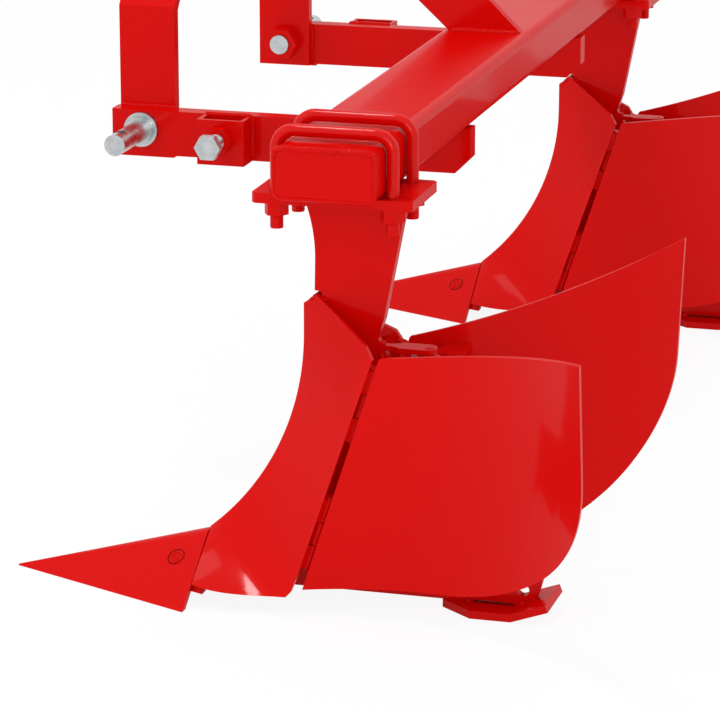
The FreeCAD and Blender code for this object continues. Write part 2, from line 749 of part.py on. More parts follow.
def clamp_plate(word, side):
    """Plate under the toolbar that the shank hangs from."""
    x, y, c = D.plate_long / 2, D.plate_wide / 2, D.plate_corner
    corners = [(c - x, -y), (x - c, -y), (x, c - y), (x, y - c)]
    corners += [(x - c, y), (c - x, y), (-x, y - c), (-x, c - y)]
    holes = [(a * ROD_HALF, b * D.rod_apart / 2, ROD_HOLE / 2) for a in (1, -1) for b in (1, -1)]
    return plate(
        f"clamp_plate_{word}", "XY_Plane", D.plate_thick, corners, side, PLATE_UNDER, both=False, holes=holes
    )


def u_bolt(across):
    """One U-bolt over the toolbar: a rod swept along two legs and two bends."""
    body = new_body("u_bolt")
    half, bend = ROD_HALF, D.rod_bend
    crown = BAR_TOP + D.rod_over + D.rod / 2
    foot = PLATE_UNDER - D.rod_tail
    path = new_sketch(body, "XZ_Plane", -size(across), "Path")
    draw_open(path, [(half, foot), (half, crown - bend), (half - bend, crown, bend),
                     (bend - half, crown), (-half, crown - bend, bend), (-half, foot)])
    ring = new_sketch(body, "XY_Plane", foot, "Ring")
    draw_circle(ring, half, across, D.rod / 2)
    rod = body.newObject("PartDesign::AdditivePipe", "Rod")
    rod.Profile = ring
    rod.Spine = path
    return body


def draw_open(sketch, points):
    """Draws an open run of straight and round edges, tied to the sheet like draw()."""
    spots = [Vector(float(p[0]), float(p[1]), 0) for p in points]
    for i in range(1, len(points)):
        if len(points[i]) > 2:
            sketch.addGeometry(arc_between(spots[i - 1], spots[i], float(points[i][2])))
            tie(sketch, "Radius", (i - 1,), points[i][2])
        else:
            sketch.addGeometry(Part.LineSegment(spots[i - 1], spots[i]))
    for i in range(1, len(points) - 1):
        sketch.addConstraint(Sketcher.Constraint("Coincident", i - 1, 2, i, 1))
    for i in range(len(points)):
        place = (i, 1) if i < len(points) - 1 else (i - 1, 2)
        tie(sketch, "DistanceX", place, points[i][0])
        tie(sketch, "DistanceY", place, points[i][1])


def u_bolts(word, side):
    half = D.rod_apart / 2
    return node(gather([u_bolt(half), u_bolt(-half)]), f"u_bolts_{word}", side)


def clamp_nuts(word, side):
    """Four nuts under the clamp plate."""
    nuts = []
    for a in (1, -1):
        for b in (1, -1):
            spot = {"x": a * ROD_HALF, "y": b * D.rod_apart / 2, "z": PLATE_UNDER - D.rod_nut_thick}
            nut = hexagon(D.rod_nut, D.rod_nut_thick, **spot)
            nuts.append(cut(nut, cylinder(D.rod / 2 + 0.1, D.rod_nut_thick, **spot)))
    return node(gather(nuts), f"clamp_nuts_{word}", side)


# ---------------------------------------------------------------- leg, heel and sole


def ridge_point(inset, angle):
    """A point of the curve inset behind the breast's ridge, at an angle round that curve."""
    reach = D.ridge_bend + inset
    centre = D.ridge_ahead + D.ridge_bend
    return centre - reach * cosine(angle), D.ridge_bend - reach * sine(angle)


def shank(word, side):
    """Leg cut from plate: it hangs from the clamp plate and follows the breast down to the share."""
    inset, top_inset = breast_inset(D.ridge_bend), breast_inset(D.ear_top + 4)
    turn = size(46.6)
    toe_x, toe_z = ridge_point(inset, turn)
    corners = [
        (-D.shank_rear, PLATE_UNDER),
        (-D.neck_rear, D.neck_low),
        (-D.waist_rear, D.waist_above),
        (-D.heel_top_rear, D.heel_top),
        (20, 62, 200),
        (20, 22),
        (160, 22),
        (160, seat_under(160)),
        (D.seat_rear - 2, seat_under(D.seat_rear - 2)),
        (toe_x, toe_z),
        (D.ridge_ahead - inset, D.ridge_bend, -(D.ridge_bend + inset)),
        (D.ridge_ahead - top_inset, D.ear_top + 2),
        (D.shank_neck + 0.5, D.ear_top + 3),
        (D.shank_neck, D.neck_above),
        (D.shank_front, PLATE_UNDER, -D.neck_round),
    ]
    return plate(f"shank_{word}", "XZ_Plane", D.shank_thick, corners, side)


def heel_plate(word, side):
    """Plate that runs back from the foot of the shank and carries the sole."""
    low = D.sole_thick
    bend = TAIL_LEAN * low / 2 - D.sole_bend
    corners = [
        (-D.heel_rear_low, low + TAIL_LEAN * (bend + D.heel_rear_low)),
        (bend, low),
        (-162, low),
        (-161, low + 2),
        (-131, low + 2),
        (-130, low),
        (95, low),
        (95, 22),
        (20, 22),
        (20, 62),
        (-60, 66),
        (-203, 56),
    ]
    return plate(f"heel_plate_{word}", "XZ_Plane", D.heel_thick, corners, side, holes=[(-178, 24, 6)])


def sole(word, side):
    """Skid under the heel, with a pointed nose and a tail bent up."""
    body = new_body(f"sole_{word}")
    profile = new_sketch(body, "XZ_Plane")
    thick = D.sole_thick
    bend = TAIL_LEAN * thick / 2 - D.sole_bend
    end = TAIL_LEAN * thick - D.sole_rear
    draw(
        profile,
        [
            (-D.sole_front, 0),
            (-D.sole_front, thick),
            (bend, thick),
            (end, thick + TAIL_LEAN * (bend - end)),
            (-D.sole_rear, D.sole_lift),
            (-D.sole_bend, 0),
        ],
    )
    pad(body, profile, D.sole_half * 2, both=True)
    nose = new_sketch(body, "XY_Plane", name="Nose")
    for hand in (1, -1):
        corners = [(-D.sole_front + 1, 5), (-D.sole_full, D.sole_half), (-D.sole_full, D.sole_half + 5)]
        corners.append((-D.sole_front + 1, D.sole_half + 5))
        draw(nose, [(x, hand * y) for x, y in corners])
    pocket_through(body, nose)
    return node(body, f"sole_{word}", side)


# ---------------------------------------------------------------- breast and share


def ruled_solid(rails):
    """A closed solid between four edges: outer a and b, inner a and b, all drawn the same way."""
    outer_a, outer_b, inner_a, inner_b = rails
    faces = [Part.makeRuledSurface(*pair) for pair in ((outer_a, outer_b), (inner_a, inner_b))]
    faces += [Part.makeRuledSurface(*pair) for pair in ((outer_a, inner_a), (outer_b, inner_b))]
    for end in (0, -1):
        ends = [edge.valueAt(edge.ParameterRange[end]) for edge in rails]
        caps = Part.makeLine(ends[0], ends[1]), Part.makeLine(ends[2], ends[3])
        faces.append(Part.makeRuledSurface(*caps))
    shell = Part.makeShell(faces)
    shell.sewShape()
    solid = Part.makeSolid(shell)
    if solid.Volume < 0:
        solid.reverse()
    return solid


def breast_ridge(share):
    """A point of the breast's ridge and its direction; share runs from 0 over the top to 1 at the foot."""
    bend, top = float(D.ridge_bend), float(D.ear_top) + 4
    straight, turn = top - bend, math.radians(float(D.ridge_foot))
    run = share * (straight + bend * turn)
    if run <= straight:
        return Vector(float(D.ridge_ahead), 0, top - run), Vector(0, 0, -1)
    angle = (run - straight) / bend
    spot = Vector(float(D.ridge_ahead) + bend * (1 - math.cos(angle)), 0, bend * (1 - math.sin(angle)))
    return spot, Vector(math.sin(angle), 0, -math.cos(angle))


def breast_edge():
    """The path down the rear edge, round the bottom corner and forward to the throat, by length."""
    lean, top = math.radians(float(D.edge_lean)), float(D.ear_top) + 4
    drop = float(D.edge_top - D.edge_foot)
    slope = Vector(math.tan(lean), float(D.breast_flare) / drop, -1)
    start = Vector(float(D.edge_ahead), float(D.breast_half), float(D.edge_top))
    foot = start.add(Vector(slope).multiply(drop))
    start = start.sub(Vector(slope).multiply(top - float(D.edge_top)))
    throat = Vector(float(D.throat_ahead), float(D.throat_half), float(D.throat_above))
    down, ahead = foot.sub(start), throat.sub(foot)
    long, short = down.Length, ahead.Length
    down.normalize()
    ahead.normalize()
    turn = math.acos(down.dot(ahead))
    radius = float(D.foot_swing)
    cut = radius * math.tan(turn / 2)
    inward = ahead.sub(Vector(down).multiply(down.dot(ahead))).normalize()
    centre = foot.sub(Vector(down).multiply(cut)).add(Vector(inward).multiply(radius))
    whole = long - cut + radius * turn + short - cut

    def spot(share):
        run = share * whole
        if run <= long - cut:
            return start.add(Vector(down).multiply(run))
        run -= long - cut
        if run <= radius * turn:
            angle = run / radius
            out = Vector(inward).multiply(-radius * math.cos(angle))
            return centre.add(out).add(Vector(down).multiply(radius * math.sin(angle)))
        return throat.add(Vector(ahead).multiply(run - radius * turn - short + cut))

    return spot


def breast_outline(drop):
    """What the side view keeps of the sheet: notched top, cut corners, bowed bottom edge."""
    nick, foot = float(D.foot_nick), float(D.edge_foot)
    corners = [
        (D.nick_ahead, D.nick_top - drop),
        (edge_at(D.nick_low - drop), D.nick_low - drop),
        (edge_at(foot + 1.5 * nick), foot + 1.5 * nick),
        (edge_at(foot) + nick, foot),
        (D.throat_ahead, D.throat_above),
        (D.share_rear - 0.4, D.share_crown + 5),
        (D.share_rear - 0.4, D.ridge_top),
        (D.ridge_ahead, D.ridge_top),
        (D.notch_ahead, D.notch_top),
        (D.ear_ahead, D.ear_top),
        (D.nick_ahead, D.nick_top - drop),
    ]
    spots = [Vector(float(x), -200, float(z)) for x, z in corners]
    edges = [Part.makeLine(a, b) for a, b in zip(spots, spots[1:])]
    chord = spots[4].sub(spots[3])
    radius = float(D.foot_bow)
    sag = radius - math.sqrt(radius * radius - chord.Length * chord.Length / 4)
    below = Vector(chord.z, 0, -chord.x).normalize().multiply(sag)
    edges[3] = Part.Arc(spots[3], spots[3].add(spots[4]).multiply(0.5).add(below), spots[4]).toShape()
    return Part.Face(Part.Wire(edges)).extrude(Vector(0, 400, 0))


def breast_shape():
    """Two curved sheets that meet at the ridge, as one solid.

    Each sheet is ruled between the ridge and a smooth path round its rear and bottom edges, made
    larger than it needs to be and then cut to its outline.
    """
    thick, stations, past = float(D.breast_thick), 24, 1.3
    edge = breast_edge()
    shares = [1.05 * i / stations for i in range(stations + 1)]

    def side(share):
        spot, _ = breast_ridge(share)
        reach = 0.8 * share + 0.2 * share ** 6.7
        return spot.add(edge(reach).sub(spot).multiply(past))

    rails = [[], [], [], []]
    for share in shares:
        (ridge, along), far = breast_ridge(share), side(share)
        ruling = far.sub(ridge)
        normal = along.cross(ruling).normalize()
        step = side(share + 0.002).sub(far)
        lean = step.cross(ruling).normalize()
        flat = Vector(normal.x, 0, normal.z)
        rails[0].append(ridge)
        rails[1].append(far)
        rails[2].append(ridge.sub(flat.multiply(thick / flat.dot(flat))))
        rails[3].append(far.sub(lean.multiply(thick)))
    edges = []
    for points in rails:
        curve = Part.BSplineCurve()
        curve.interpolate(Points=points, Parameters=shares)
        edges.append(curve.toShape())
    sheet = ruled_solid(edges)
    left, right = (sheet.common(breast_outline(drop)) for drop in (0, D.right_drop))
    return left.fuse(right.mirror(Vector(), ALONG_Y)).removeSplitter()


BREAST = breast_shape()


def scripted(name, shape):
    item = doc.addObject("Part::Feature", name)
    item.Shape = shape
    return item


def breast(word, side):
    return node(scripted("breast", BREAST), f"breast_{word}", side)


def wedge_section(body, x, drop):
    """The share's cross-section at x: a wedge with a rounded ridge, lowered by drop."""
    sketch = new_sketch(body, "YZ_Plane", x)
    scale = wedge_scale(x)
    foot = D.share_half * scale - drop * (D.share_half - D.share_nose) / D.share_crown
    nose = D.share_nose * scale
    crown = D.share_crown * scale - drop
    draw(sketch, [(-foot, 0), (foot, 0), (nose, crown), (-nose, crown, D.share_round * scale)])
    return sketch


def wedge(body, kind, drop, rear, front):
    """Adds or takes away the wedge between two places, lowered by drop."""
    loft = body.newObject(f"PartDesign::{kind}Loft", "Wedge")
    loft.Profile = wedge_section(body, rear, drop)
    loft.Sections = [wedge_section(body, front, drop)]
    loft.Ruled = True


def share_bolt_place(hand, depth):
    """Where a share bolt is at a depth under the share's face, and how it is turned."""
    half, crown = D.share_half, D.share_crown
    slope = crown / (half - D.share_nose)
    normal = Vector(float(half * slope / SHARE_LONG), float(slope), 1)
    face = slope * (half * wedge_scale(D.bolt_ahead) - D.bolt_half)
    normal.y *= hand
    normal.normalize()
    spot = Vector(float(D.bolt_ahead), hand * float(D.bolt_half), float(face))
    spot = spot.sub(Vector(normal).multiply(float(depth)))
    return Placement(spot, Rotation(Vector(0, 0, 1), normal))


def share_bolt(hand, play):
    """A countersunk bolt, or with some play its hole."""
    sink = (D.share_head - D.share_bolt) / 2 + 1
    shaft = doc.addObject("Part::Cylinder", "Shaft")
    bind(shaft, "Radius", D.share_bolt / 2 + play)
    bind(shaft, "Height", D.share_wall + D.seat_wall + 8)
    shaft.Placement = share_bolt_place(hand, D.share_wall + D.seat_wall + 8 + sink - 0.2)
    head = doc.addObject("Part::Cone", "Head")
    bind(head, "Radius1", D.share_bolt / 2 + play)
    bind(head, "Radius2", D.share_head / 2 + play)
    bind(head, "Height", sink)
    head.Placement = share_bolt_place(hand, sink - 0.2)
    return [shaft, head]


def share(word, side):
    """Pointed share: a hollow wedge that narrows to its tip, with holes for its two bolts."""
    body = new_body("share_wedge")
    wedge(body, "Additive", size(0), D.share_rear, D.share_tip)
    wedge(body, "Subtractive", D.share_wall, D.share_rear, D.share_tip - SHARE_LONG / 4)
    holes = fuse(share_bolt(1, 0.15) + share_bolt(-1, 0.15))
    return node(cut(body, holes), f"share_{word}", side)


def share_seat(word, side):
    """Bent plate under the share and the breast's foot, which the share is bolted to."""
    body = new_body("seat_wedge")
    drop = D.share_wall + D.slack
    wedge(body, "Additive", drop, D.seat_rear, D.seat_front)
    wedge(body, "Subtractive", drop + D.seat_wall, D.seat_rear, D.seat_front)
    trim = new_sketch(body, "XZ_Plane", name="Trim")
    draw(trim, [(D.seat_rear - 1, -1), (D.seat_front + 1, -1), (D.seat_front + 1, 12), (D.seat_rear - 1, 12)])
    pocket_through(body, trim)
    holes = fuse(share_bolt(1, 0.15) + share_bolt(-1, 0.15))
    return node(cut(body, holes), f"share_seat_{word}", side)


def share_bolts(word, side):
    """Two countersunk bolts with their nuts."""
    bolts = []
    for hand in (1, -1):
        nut = doc.addObject("Part::Prism", "Nut")
        nut.Polygon = 6
        bind(nut, "Circumradius", D.share_bolt)
        bind(nut, "Height", D.share_bolt * 0.8)
        nut.Placement = share_bolt_place(hand, (D.share_wall + D.seat_wall) * 0.82 + D.share_bolt * 0.8)
        bolts.append(fuse([*share_bolt(hand, 0), nut]))
    return node(gather(bolts), f"share_bolts_{word}", side)


# ---------------------------------------------------------------- hinges and wings


def hinge_place(item, hand, down):
    """Stands an object on the leaning hinge line, at a distance down that line."""
    x = HINGE_AHEAD + down * sine(D.edge_lean)
    z = D.edge_top - down * cosine(D.edge_lean)
    return put(item, x, hand * HINGE_HALF, z, ALONG_Y, -D.edge_lean)


def knuckle(hand, down, leaf):
    """One hinge barrel with its welded leaf; leaf is an outline ahead of and out from the axis."""
    body = new_body("knuckle")
    ring = new_sketch(body, "XY_Plane")
    draw_circle(ring, 0, 0, D.barrel / 2)
    pad(body, ring, D.barrel_long)
    flat = new_sketch(body, "XY_Plane")
    draw(flat, [(x, hand * y) for x, y in leaf])
    pad(body, flat, D.barrel_long)
    bore = new_sketch(body, "XY_Plane")
    draw_circle(bore, 0, 0, D.hinge_pin / 2 + D.pin_play)
    pocket_through(body, bore)
    return hinge_place(body, hand, down + D.barrel_long)


def breast_knuckles(word, side):
    """Eight barrels welded inside the breast's rear edges, two to each hinge."""
    half = D.barrel / 2
    leaf = [(0, -half), (16, -9), (16, -0.1), (4, 9.5), (0, half)]
    step = (D.barrel_long + D.barrel_gap) * 2
    places = [top + turn * step for top in (D.upper_hinge, D.lower_hinge) for turn in (0, 1)]
    barrels = [knuckle(hand, down, leaf) for hand in (1, -1) for down in places]
    return node(cut(gather(barrels), scripted("breast_sheet", BREAST)), f"breast_knuckles_{word}", side)


def hinge_pins(word, side):
    """Four pins, one through each hinge, with a flat head on top."""
    pins = []
    for hand in (1, -1):
        for top in (D.upper_hinge, D.lower_hinge):
            length = D.barrel_long * 3 + D.barrel_gap * 2 + 3
            shaft = hinge_place(cylinder(D.hinge_pin / 2, length), hand, top - 0.2 + length)
            head = hinge_place(cylinder(D.hinge_pin * 0.75, 2), hand, top - 0.2)
            pins.append(fuse([shaft, head]))
    return node(gather(pins), f"hinge_pins_{word}", side)


def wing_section(body, height, half, radius, leave, end, hand):
    """The wing's curved cross-section at a height: two arcs about one centre."""
    front = edge_at(height)
    centre_x = front + radius * sine(leave)
    centre_y = half + radius * cosine(leave)
    sketch = new_sketch(body, "XY_Plane", height)

    def point(reach, angle):
        return centre_x - reach * sine(angle), hand * (centre_y - reach * cosine(angle))

    inside = radius + D.wing_thick
    draw(
        sketch,
        [
            point(radius, leave),
            (*point(radius, end), -hand * radius),
            point(inside, end),
            (*point(inside, leave), hand * inside),
        ],
    )
    return sketch


def wing_half_at(x, height):
    """How far out the wing's outer face is at a place, for what is welded to its inside."""
    sections = []
    for radius, leave, end, level, half in (
        (D.low_round, D.low_leave, D.low_end, D.low_cut, D.breast_half + D.breast_flare),
        (D.high_round, D.high_leave, D.high_end, D.high_cut, D.breast_half),
    ):
        sections.append([float(n) for n in (radius, leave, end, edge_at(level), half)])
    share = (height - float(D.low_cut)) / float(D.high_cut - D.low_cut)

    def point(turn):
        spots = []
        for radius, leave, end, front, half in sections:
            angles = [math.radians(a) for a in (leave, leave + turn * (end - leave))]
            spots.append(
                (
                    front + radius * (math.sin(angles[0]) - math.sin(angles[1])),
                    half + radius * (math.cos(angles[0]) - math.cos(angles[1])),
                )
            )
        return [low + share * (high - low) for low, high in zip(*spots)]

    near, far = 0, 1
    for _ in range(40):
        middle = (near + far) / 2
        near, far = (middle, far) if point(middle)[0] > x else (near, middle)
    return point(near)[1]


def wing_sheet(hand):
    """Twisted mouldboard wing: ruled between two arcs, then cut to its outline."""
    body = new_body("wing_sheet")
    loft = body.newObject("PartDesign::AdditiveLoft", "Sheet")
    low_half = D.breast_half + D.breast_flare
    low = (D.low_cut, low_half, D.low_round, D.low_leave, D.low_end)
    high = (D.high_cut, D.breast_half, D.high_round, D.high_leave, D.high_end)
    loft.Profile = wing_section(body, *low, hand)
    loft.Sections = [wing_section(body, *high, hand)]
    loft.Ruled = True
    outline = new_sketch(body, "XZ_Plane", name="Outline")
    draw(outline, [(-400, -50), (200, -50), (200, 450), (-400, 450)])
    crest = D.wing_front - D.right_drop * (0 if hand > 0 else 1)
    nose = crest - D.wing_nose
    draw(
        outline,
        [
            (wing_edge_at(nose), nose),
            (wing_edge_at(D.wing_base), D.wing_base),
            (-D.belly_rear, D.belly_above),
            (-D.heel_rear, D.heel_above, -D.belly_round),
            (1 - D.wing_rear, D.corner_above, -D.corner_round),
            (-D.wing_rear, D.wing_peak),
            (wing_edge_at(crest) - D.wing_nose, crest, D.wing_dip),
            (wing_edge_at(nose), nose, -D.wing_nose * 1.25),
        ][1:],
    )
    pocket_through(body, outline)
    return body


def wing(name, side, hand):
    """A wing with the middle barrels of its hinges and the lug for its adjuster strap."""
    step = D.barrel_long + D.barrel_gap
    barrels = []
    for top in (D.upper_hinge, D.lower_hinge):
        middle = top + step + D.barrel_long / 2
        x, z = HINGE_AHEAD + middle * sine(D.edge_lean), D.edge_top - middle * cosine(D.edge_lean)
        inside = float(HINGE_HALF) + float(D.wing_thick) / 2
        outs = [wing_half_at(float(x - back), float(z)) - inside for back in (6, 10)]
        leaf = [(-2, 0), (-2, 7), (-5, outs[0]), (-9, outs[1]), (-9, 5), (-4, -4)]
        barrels.append(knuckle(hand, top + step, leaf))
    lug = new_body("lug")
    level = (UPPER_STRAP if hand > 0 else LOWER_STRAP) + D.strap_thick
    sketch = new_sketch(lug, "XY_Plane", level)
    front, rear = D.strap_half - D.lug_back, -D.strap_half - D.lug_back
    ends = [wing_half_at(float(x), float(level)) - 0.6 * float(D.wing_thick) for x in (rear, front)]
    corners = [(front, D.lug_half - 10), (rear, D.lug_half - 10), (rear, ends[0]), (front, ends[1])]
    draw(sketch, [(x, hand * y) for x, y in corners])
    pad(lug, sketch, D.lug_thick)
    return node(fuse([wing_sheet(hand), *barrels, lug]), name, side)


# ---------------------------------------------------------------- wing adjusters


def strap_bracket(word, side):
    """Bar on a gusset behind the shank, with a round end for the clamp bolt."""
    bar = new_body("bracket_bar")
    sketch = new_sketch(bar, "XY_Plane", D.bracket_above)
    half, neck, root = D.bracket_wide / 2, D.heel_thick / 2, -D.gusset_back
    front, end = -D.waist_rear - 4, half - D.clamp_back - D.bracket_past
    draw(
        sketch,
        [
            (end, -half),
            (end, half, -half),
            (root - 9, half),
            (root, neck, 10),
            (front, neck),
            (front, -neck),
            (root, -neck),
            (root - 9, -half, 10),
        ],
    )
    draw_circle(sketch, -D.clamp_back, 0, D.clamp_bolt / 2 + 0.1)
    pad(bar, sketch, D.bracket_thick)
    gusset = new_body("bracket_gusset")
    sketch = new_sketch(gusset, "XZ_Plane")
    top, foot = D.waist_above - 2, D.waist_above - 62
    draw(
        sketch,
        [
            (waist_at(top), top),
            (-D.gusset_back + 2, D.bracket_above - 6),
            (-D.gusset_back, D.bracket_above - 14),
            (-D.gusset_back, foot + 18),
            (waist_at(foot), foot),
        ],
    )
    pad(gusset, sketch, D.heel_thick, both=True)
    return node(fuse([bar, gusset]), f"strap_bracket_{word}", side)


def strap_bolt(word, side):
    """Clamp bolt screwed up into the bracket, with its washer and the sleeve that keeps the slots clear."""
    low = LOWER_STRAP - D.strap_far
    washer, thick = D.clamp_bolt * 1.1, 2
    head = D.clamp_bolt * 0.7
    x = -D.clamp_back
    pieces = [
        cylinder(D.clamp_bolt / 2, BRACKET_TOP + 0.5 - low + thick, x, 0, low - thick),
        cylinder(D.sleeve / 2, D.bracket_above - low, x, 0, low),
        cylinder(washer, thick, x, 0, low - thick),
        hexagon(D.clamp_head, head, x, 0, low - thick - head),
    ]
    return node(fuse(pieces), f"strap_bolt_{word}", side)


def wing_strap(name, side, hand):
    """Slotted strap from a wing's lug to the clamp bolt; the slot curves about the hinge."""
    body = new_body(name)
    level = UPPER_STRAP if hand > 0 else LOWER_STRAP
    axis_x = HINGE_AHEAD + (D.edge_top - level) * tangent(D.edge_lean)
    back, across = axis_x + D.clamp_back, HINGE_HALF
    reach = Size(math.hypot(back.value, across.value), f"sqrt({back.text}^2 + {across.text}^2)")
    rest = arc_tangent(across, back)
    half = D.strap_slot / 2

    def point(distance, turn):
        angle = rest + turn
        return axis_x - distance * cosine(angle), hand * (HINGE_HALF - distance * sine(angle))

    opened, closed = D.wing_opens, -D.wing_closes
    sketch = new_sketch(body, "XY_Plane", level)
    fixing = (-D.lug_back, hand * D.lug_half)
    draw_hull(sketch, [point(reach, opened), fixing, point(reach, closed)], D.strap_half)
    draw(
        sketch,
        [
            point(reach - half, opened),
            (*point(reach - half, closed), -hand * (reach - half)),
            (*point(reach + half, closed), hand * half),
            (*point(reach + half, opened), hand * (reach + half)),
            (*point(reach - half, opened), hand * half),
        ][1:],
    )
    pad(body, sketch, D.strap_thick)
    return node(body, name, side)


# ---------------------------------------------------------------- the machine

toolbar()
mast_spacer()
mast_brace()
for word, side in SIDES:
    bar_cap(word, side)
    hitch_arm(word, side)
    mast_upright(word, side)
    link_pin(word, side)
    link_nut(word, side)
    stand_socket(word, side)
    socket_bolt(word, side)
for word, side in SIDES:
    for piece in (
        clamp_plate,
        u_bolts,
        clamp_nuts,
        shank,
        heel_plate,
        sole,
        breast,
        share,
        share_seat,
        share_bolts,
        breast_knuckles,
        hinge_pins,
        strap_bracket,
        strap_bolt,
    ):
        piece(word, side)
    for hand in (1, -1):
        place = "outer" if hand == side else "inner"
        wing(f"wing_{place}_{word}", side, hand)
        wing_strap(f"wing_strap_{place}_{word}", side, hand)

doc.recompute()
problems = [item.Label for item in doc.Objects if {"Invalid", "Error"} & set(item.State)]
problems += [item.Label for item in nodes if item.Shape.isNull() or not item.Shape.isValid()]
if problems:
    raise RuntimeError(f"not built: {problems}")

os.makedirs("parts", exist_ok=True)
for item in nodes:
    item.Shape.exportStep(f"parts/{item.Label}.step")
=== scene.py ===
# %% [markdown]
# # A ridging plough in Blender
# This machine hangs on a tractor's three-point linkage and throws soil up into ridges. The measured steel
# model is already built, so this file only loads it, gives every piece its finish, and adds what a
# workshop adds last: weld beads, screw threads and the rings round flush bolts, with thin dark lines of
# painted shade in open seams and gaps. Blender works in metres.
# The helpers that lay beads and threads take millimetres, because those are the sizes a maker reads.

# %% Load the measured model
import math

import bmesh
import bpy
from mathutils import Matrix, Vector, noise


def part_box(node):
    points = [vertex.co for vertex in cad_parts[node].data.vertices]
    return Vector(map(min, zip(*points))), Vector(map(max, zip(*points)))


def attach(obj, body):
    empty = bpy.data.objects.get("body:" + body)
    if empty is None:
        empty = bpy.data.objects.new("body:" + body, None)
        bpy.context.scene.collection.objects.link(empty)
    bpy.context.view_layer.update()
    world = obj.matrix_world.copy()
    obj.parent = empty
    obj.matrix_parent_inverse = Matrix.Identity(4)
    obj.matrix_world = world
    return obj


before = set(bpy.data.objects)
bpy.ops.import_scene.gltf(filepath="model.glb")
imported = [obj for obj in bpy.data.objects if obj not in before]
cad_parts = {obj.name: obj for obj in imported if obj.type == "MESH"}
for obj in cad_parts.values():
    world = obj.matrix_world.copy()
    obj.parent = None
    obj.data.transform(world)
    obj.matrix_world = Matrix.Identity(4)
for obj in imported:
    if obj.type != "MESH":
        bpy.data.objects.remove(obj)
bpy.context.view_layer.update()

MM = 0.001
SIDES = (("left", 1), ("right", -1))

# %% [markdown]
# ## Shader arithmetic
# A finish is a graph of nodes, and long graphs are hard to read. Here one small class wraps an output
# socket, so that `mask * 0.5 + 0.1` adds the Math nodes by itself. Colours don't go through Math nodes,
# because those turn a colour grey: they are mixed by `Finish.mix`.


# %% Sockets that can be added and multiplied
class Flow:
    """An output socket that arithmetic can be done on."""

    def __init__(self, finish, socket):
        self.finish = finish
        self.socket = socket

    def math(self, operation, first, second):
        return self.finish.make("Math", {"operation": operation}, {0: first, 1: second})

    def __add__(self, other):
        return self.math("ADD", self, other)

    __radd__ = __add__

    def __mul__(self, other):
        return self.math("MULTIPLY", self, other)

    __rmul__ = __mul__

    def larger(self, other):
        return self.math("MAXIMUM", self, other)

    def step(self, low, high):
        """0 below low, 1 above high, and a smooth rise between them."""
        ranges = {"From Min": low, "From Max": high}
        return self.finish.make("MapRange", {"interpolation_type": "SMOOTHSTEP"}, {"Value": self, **ranges})


# %% [markdown]
# ## A finish while it is being made
# Every node comes from one method, `make`, which takes the node's type, its settings and what goes into
# its sockets. The shorter methods below it name the few nodes that a painted steel machine needs.


# %% Materials as short lists of nodes
class Finish:
    """One material, or the world's light, while it is being made."""

    def __init__(self, name, owner=None, shader="Principled BSDF"):
        self.owner = owner or bpy.data.materials.new(name)
        self.owner.use_nodes = True
        self.tree = self.owner.node_tree
        self.shader = self.tree.nodes[shader]

    def feed(self, socket, value):
        if isinstance(value, Flow):
            self.tree.links.new(value.socket, socket)
        else:
            socket.default_value = value

    def make(self, kind, settings=None, sockets=None, out=0):
        node = self.tree.nodes.new("ShaderNode" + kind)
        for name, value in (settings or {}).items():
            setattr(node, name, value)
        for name, value in (sockets or {}).items():
            self.feed(node.inputs[name], value)
        return Flow(self, node.outputs[out])

    def place(self):
        """Position on the piece in metres, the same in every pose of the piece."""
        return self.make("TexCoord", out="Object")

    def noise(self, size, detail=2.0, rough=0.5, where=None):
        """Soft random clouds; size is about one cloud's width in metres."""
        sockets = {"Vector": where or self.place(), "Scale": 1 / size, "Detail": detail, "Roughness": rough}
        return self.make("TexNoise", {}, sockets)

    def stretch(self, x, y, z):
        """Position that runs faster along the axes with a larger number."""
        return self.make("Mapping", {}, {"Vector": self.place(), "Scale": (x, y, z)})

    def mix(self, share, first, second):
        """Blends two colours; share 0 gives the first."""
        first, second = (value if isinstance(value, Flow) else (*value, 1) for value in (first, second))
        return self.make("Mix", {"data_type": "RGBA"}, {0: share, 6: first, 7: second}, out=2)

    def bump(self, height, depth):
        """A bump of a real depth in metres."""
        return self.make("Bump", {}, {"Height": height, "Distance": depth, "Strength": 1.0}, out="Normal")

    def show(self, **sockets):
        for name, value in sockets.items():
            self.feed(self.shader.inputs[name.replace("_", " ")], value)
        return self.owner


# %% [markdown]
# ## Gloss red paint
# The plough is sprayed with one coat of gloss enamel. A deep red needs almost no green or blue in it: a
# little of either turns the lit faces pink. The pigment is matt, and a thin clear coat over it gives
# crisp glints on rods and edges while broad faces keep their depth. The skin has the fine dimples of
# sprayed paint, which break a glint into specks. The gloss varies a little in bands, because the plate
# under the paint was rolled in one direction.
#
# One function makes all four paints. A weld has a deep grain on top of the dimples, a round rod has a
# thicker coat because paint gathers on it, and the seam paint is painted shade: a dark red that stands
# for the shadow in open seams and gaps.

# %% Sizes in the paint's skin
CLOUD = 350 * MM
SPECK = 1.6 * MM
DIMPLE = 4.8 * MM
WELD_GRAIN = 2.6 * MM
DIMPLE_SHARE = 0.32
SKIN_DEPTH = 0.7 * MM
ROLLED_BANDS = (9, 9, 38)
print("dimples:", round(DIMPLE / MM, 1), "mm wide,", round(SKIN_DEPTH * DIMPLE_SHARE / MM, 2), "mm deep")


